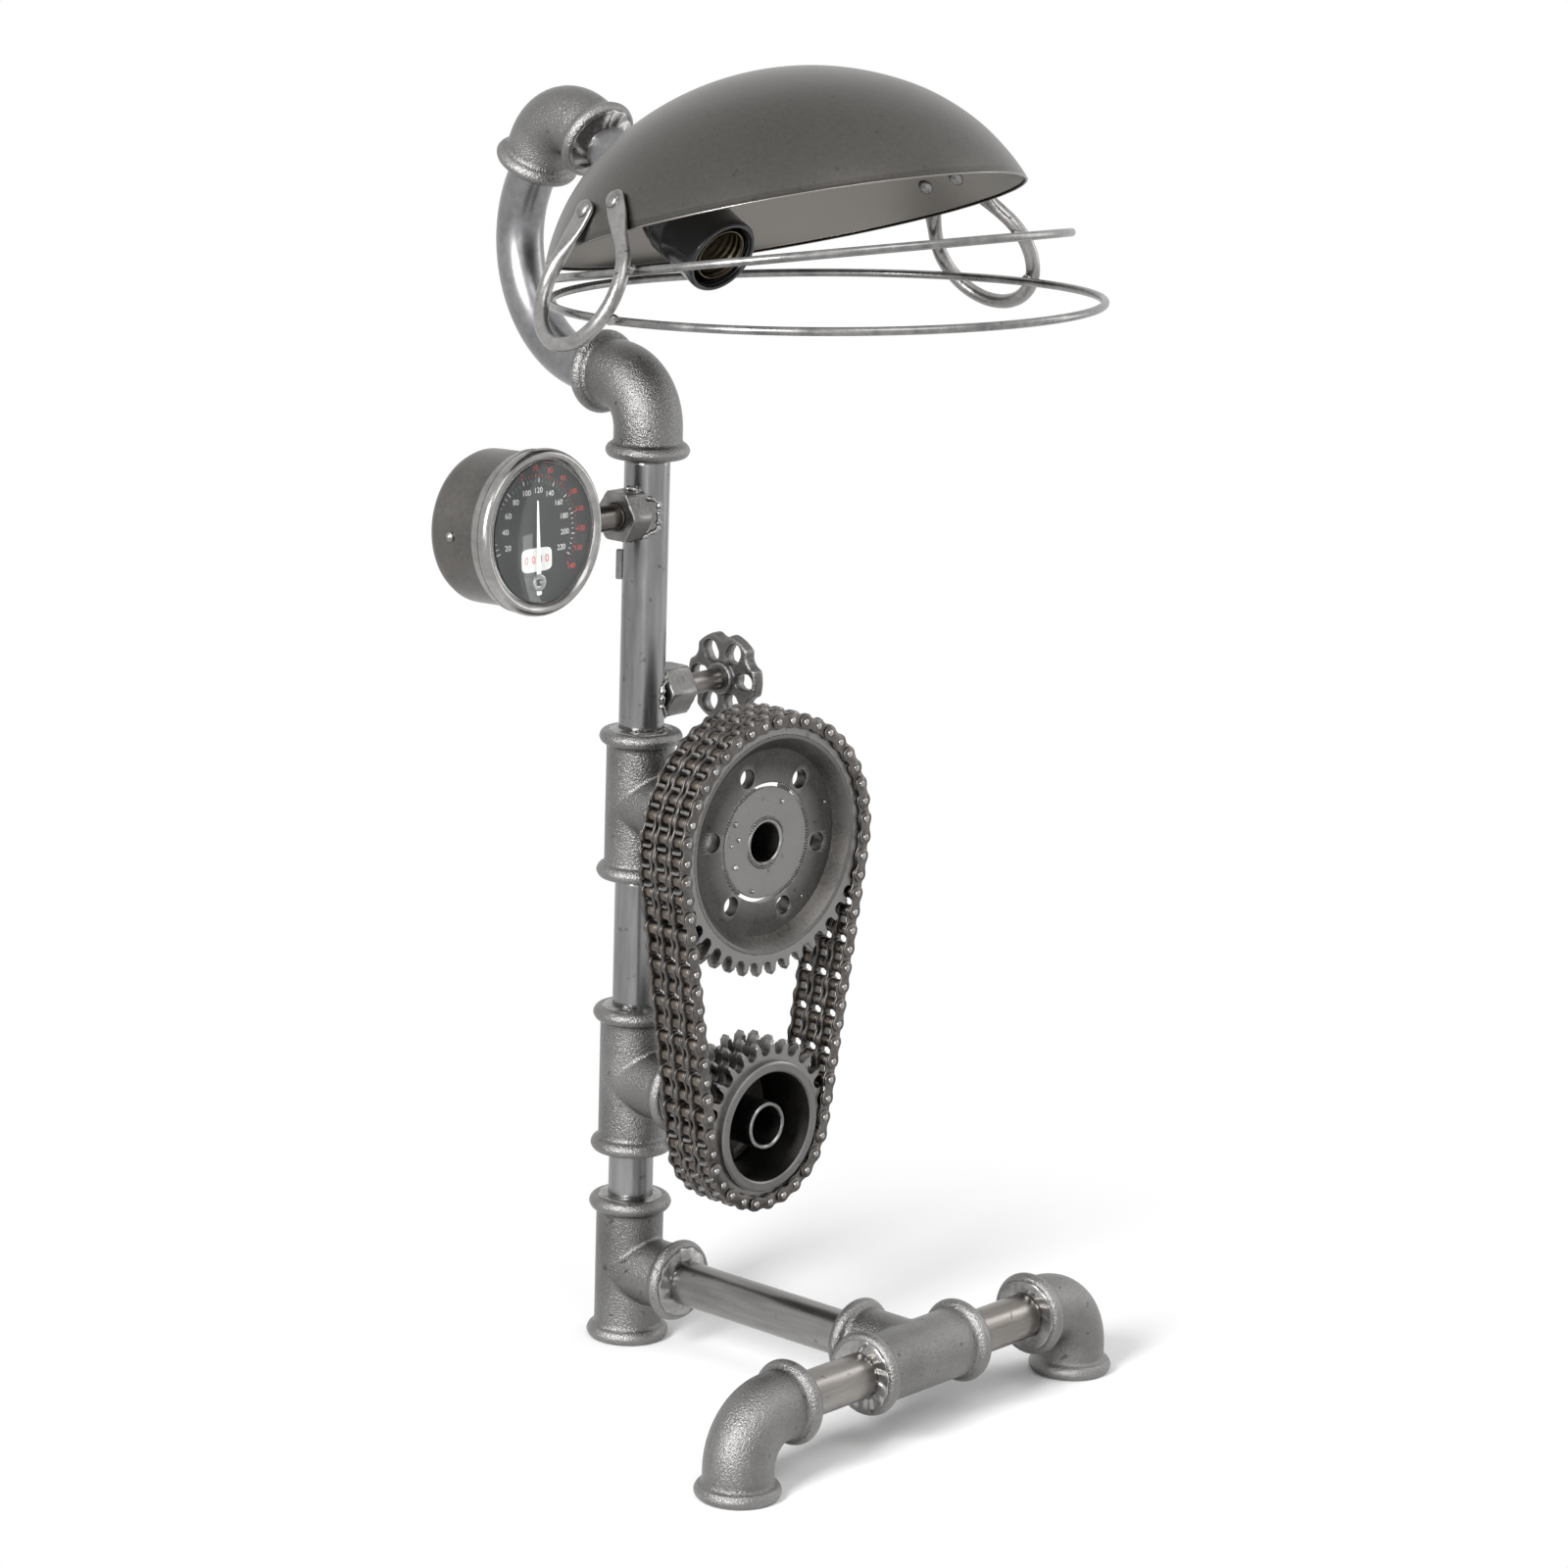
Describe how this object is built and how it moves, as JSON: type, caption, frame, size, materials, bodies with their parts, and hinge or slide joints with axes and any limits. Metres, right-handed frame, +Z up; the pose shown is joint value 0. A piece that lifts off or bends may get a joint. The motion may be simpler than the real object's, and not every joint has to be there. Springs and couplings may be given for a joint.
{
  "type": "table lamp",
  "caption": "Table lamp made of pipe fittings, with a domed shade on a gooseneck, a triplex chain drive, a dial gauge and a valve handwheel.",
  "frame": {"origin": "centre of the rear foot's mouth on the floor, on the column's axis", "axes": "+Z up along the column; +X forward along the foot's spine; +Y to the handwheel's side"},
  "size_m": [0.3718, 0.3031, 0.6595],
  "materials": {
    "fitting": "lacquered, satin",
    "pipe_steel": "ground and lacquered, satin",
    "drive_steel": "worn, satin",
    "chain_plate": "worn, satin",
    "chain_roller": "oiled, satin",
    "shade_steel": "polished, slightly scuffed",
    "rod_steel": "satin",
    "wheel_iron": "satin",
    "black_plastic": "gloss",
    "ceramic": "matt",
    "holder_brass": "satin",
    "gauge_housing": "satin gun-metal grey",
    "gauge_face": "matt",
    "needle": "matt",
    "gauge_glass": "clear"
  },
  "bodies": {
    "lamp": {"case_screw": "pipe_steel", "centre_disc": "drive_steel", "centre_welds": "drive_steel", "chain_inner_plates": "chain_plate", "chain_outer_plates": "chain_plate", "chain_pin_heads": "chain_plate", "chain_rollers": "chain_roller", "column_pipe": "pipe_steel", "column_strip": "pipe_steel", "front_tee": "fitting", "gauge_bezel": "gauge_housing", "gauge_case": "gauge_housing", "gauge_dial": "gauge_face", "gauge_glass": "gauge_glass", "gauge_nut": "pipe_steel", "gauge_stem": "pipe_steel", "gooseneck": "pipe_steel", "hoop_welds": "rod_steel", "lampholder_body": "black_plastic", "lampholder_cap": "black_plastic", "lampholder_contact": "holder_brass", "lampholder_insulator": "ceramic", "lampholder_screw_shell": "holder_brass", "left_foot_elbow": "fitting", "left_loop": "rod_steel", "left_nipple": "pipe_steel", "lock_nut": "pipe_steel", "loop_rivets": "rod_steel", "lower_hoop": "rod_steel", "lower_hub_tube": "drive_steel", "lower_nipple": "pipe_steel", "lower_sprocket": "drive_steel", "mid_pipe": "pipe_steel", "mid_tee": "fitting", "needle_pin": "pipe_steel", "rear_tee": "fitting", "right_foot_elbow": "fitting", "right_loop": "rod_steel", "right_nipple": "pipe_steel", "shade": "shade_steel", "shade_elbow": "fitting", "shade_nipple": "pipe_steel", "shade_stub": "pipe_steel", "spine_pipe": "pipe_steel", "top_elbow": "fitting", "upper_hoop": "rod_steel", "upper_hub_tube": "drive_steel", "upper_sprocket": "drive_steel", "upper_tee": "fitting", "valve_nut": "pipe_steel"},
    "valve": {"valve_stem": "pipe_steel", "handwheel": "wheel_iron"},
    "needle": {"gauge_needle": "needle"}
  },
  "joints": [
    {"name": "handwheel_spin", "type": "hinge", "parent": "lamp", "child": "valve", "pos_m": [0, 0.02, 0.3375], "axis": [0, 1, 0], "continuous": true},
    {"name": "needle_swing", "type": "hinge", "parent": "lamp", "child": "needle", "pos_m": [0.01885, -0.095, 0.40958], "axis": [0.999, 0, 0.0436], "range_deg": [-50, 50], "stiffness_Nm_per_rad": 0.02}
  ]
}
